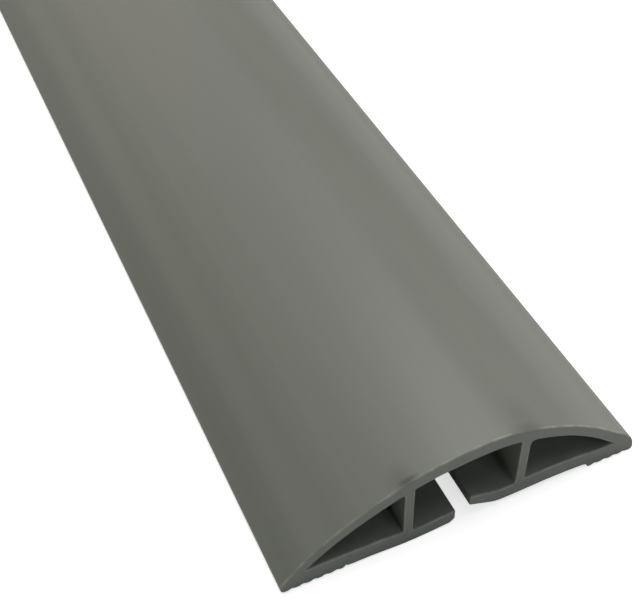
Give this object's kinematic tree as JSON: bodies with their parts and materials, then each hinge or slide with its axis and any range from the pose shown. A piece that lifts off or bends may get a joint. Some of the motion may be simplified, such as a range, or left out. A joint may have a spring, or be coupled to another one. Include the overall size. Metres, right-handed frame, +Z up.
{
  "type": "floor cord cover",
  "caption": "Low arched vinyl strip that lies on a floor over a cord, with a slit cord channel underneath, closed side hollows and ribbed edges.",
  "frame": {"origin": "on the floor, under the middle of the strip, halfway along its length and halfway across it", "axes": "+Z up from the floor, +Y along the strip, +X across it"},
  "size_m": [0.07, 0.9144, 0.02],
  "materials": {
    "vinyl": "warm grey flexible PVC, satin as extruded, matt on the cut ends"
  },
  "bodies": {
    "root": {"cover_strip": "vinyl"}
  },
  "joints": []
}
